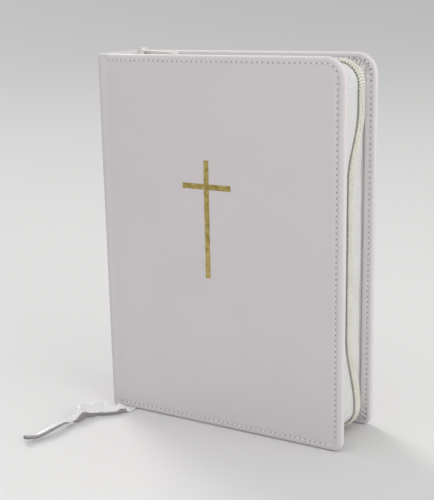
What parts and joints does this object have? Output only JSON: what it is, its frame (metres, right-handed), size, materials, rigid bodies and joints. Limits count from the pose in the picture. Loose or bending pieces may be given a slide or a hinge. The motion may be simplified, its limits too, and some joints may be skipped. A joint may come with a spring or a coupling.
{
  "type": "prayer book",
  "caption": "Thick prayer book in white leather with a stitched edge, a gold foil cross, a zip round three sides and a satin ribbon marker.",
  "frame": {"origin": "middle of the book's width and thickness, on the surface it stands on", "axes": "+Z from the tail to the head, +X from the spine to the fore-edge, -Y out of the front cover"},
  "size_m": [0.1422, 0.0994, 0.1822],
  "materials": {
    "leather": "fine-grained white leather, satin",
    "lining": "smooth white lining leather",
    "board": "grey binder board",
    "mull": "glued gauze",
    "band": "woven cotton band",
    "ribbon": "white satin ribbon",
    "thread": "white polyester thread",
    "foil": "gold stamping foil, slightly mottled",
    "tape": "woven white zip tape",
    "coil": "cream polyester coil",
    "slider": "white enamel",
    "endpaper": "smooth cream endpaper",
    "pages": "thin cream book paper"
  },
  "bodies": {
    "spine": {"spine_leather": "leather", "spine_stiffener": "board", "spine_mull": "mull", "head_band": "band", "tail_band": "band", "ribbon_inner": "ribbon"},
    "front_cover": {"front_leather": "leather", "front_board": "board", "front_lining": "lining", "front_pastedown": "endpaper", "front_stitching": "thread", "gold_cross": "foil", "front_zip_tape": "tape", "front_zip_coil": "coil", "front_zip_stops": "slider", "ribbon_tail": "ribbon"},
    "back_cover": {"back_leather": "leather", "back_board": "board", "back_lining": "lining", "back_pastedown": "endpaper", "back_stitching": "thread", "back_zip_tape": "tape", "back_zip_coil": "coil", "back_zip_stops": "slider"},
    "leaves_front_1": {"front_flyleaf": "endpaper", "pages_front_1": "pages"},
    "leaves_front_2": {"pages_front_2": "pages"},
    "leaves_front_3": {"pages_front_3": "pages"},
    "leaves_back_1": {"back_flyleaf": "endpaper", "pages_back_1": "pages"},
    "leaves_back_2": {"pages_back_2": "pages"},
    "leaves_back_3": {"pages_back_3": "pages"},
    "slider": {"slider_body": "slider", "slider_bail": "slider"},
    "pull": {"zip_pull": "slider"}
  },
  "joints": [
    {"name": "front_cover_open", "type": "hinge", "parent": "spine", "child": "front_cover", "pos_m": [-0.061, -0.019, 0.09], "axis": [0, 0, 1], "range_deg": [-120, 0]},
    {"name": "back_cover_open", "type": "hinge", "parent": "spine", "child": "back_cover", "pos_m": [-0.061, 0.019, 0.09], "axis": [0, 0, 1], "range_deg": [0, 120]},
    {"name": "pages_front_1_turn", "type": "hinge", "parent": "spine", "child": "leaves_front_1", "pos_m": [-0.0595, -0.015, 0.09], "axis": [0, 0, 1], "range_deg": [-85, 0]},
    {"name": "pages_front_2_turn", "type": "hinge", "parent": "spine", "child": "leaves_front_2", "pos_m": [-0.0595, -0.015, 0.09], "axis": [0, 0, 1], "range_deg": [-60, 0]},
    {"name": "pages_front_3_turn", "type": "hinge", "parent": "spine", "child": "leaves_front_3", "pos_m": [-0.0595, -0.015, 0.09], "axis": [0, 0, 1], "range_deg": [-35, 0]},
    {"name": "pages_back_1_turn", "type": "hinge", "parent": "spine", "child": "leaves_back_1", "pos_m": [-0.0595, 0.015, 0.09], "axis": [0, 0, 1], "range_deg": [0, 85]},
    {"name": "pages_back_2_turn", "type": "hinge", "parent": "spine", "child": "leaves_back_2", "pos_m": [-0.0595, 0.015, 0.09], "axis": [0, 0, 1], "range_deg": [0, 60]},
    {"name": "pages_back_3_turn", "type": "hinge", "parent": "spine", "child": "leaves_back_3", "pos_m": [-0.0595, 0.015, 0.09], "axis": [0, 0, 1], "range_deg": [0, 35]},
    {"name": "slider_travel", "type": "slide", "parent": "back_cover", "child": "slider", "axis": [1, 0, 0], "range_m": [0, 0.055]},
    {"name": "pull_lift", "type": "hinge", "parent": "slider", "child": "pull", "pos_m": [-0.05, -0.0005, 0.1806], "axis": [0, -1, 0], "range_deg": [0, 170]}
  ],
  "couplings": [
    {"joint": "pages_front_1_turn", "follows": "front_cover_open", "ratio": 0.708},
    {"joint": "pages_front_2_turn", "follows": "front_cover_open", "ratio": 0.5},
    {"joint": "pages_front_3_turn", "follows": "front_cover_open", "ratio": 0.29},
    {"joint": "pages_back_1_turn", "follows": "back_cover_open", "ratio": 0.708},
    {"joint": "pages_back_2_turn", "follows": "back_cover_open", "ratio": 0.5},
    {"joint": "pages_back_3_turn", "follows": "back_cover_open", "ratio": 0.29}
  ]
}
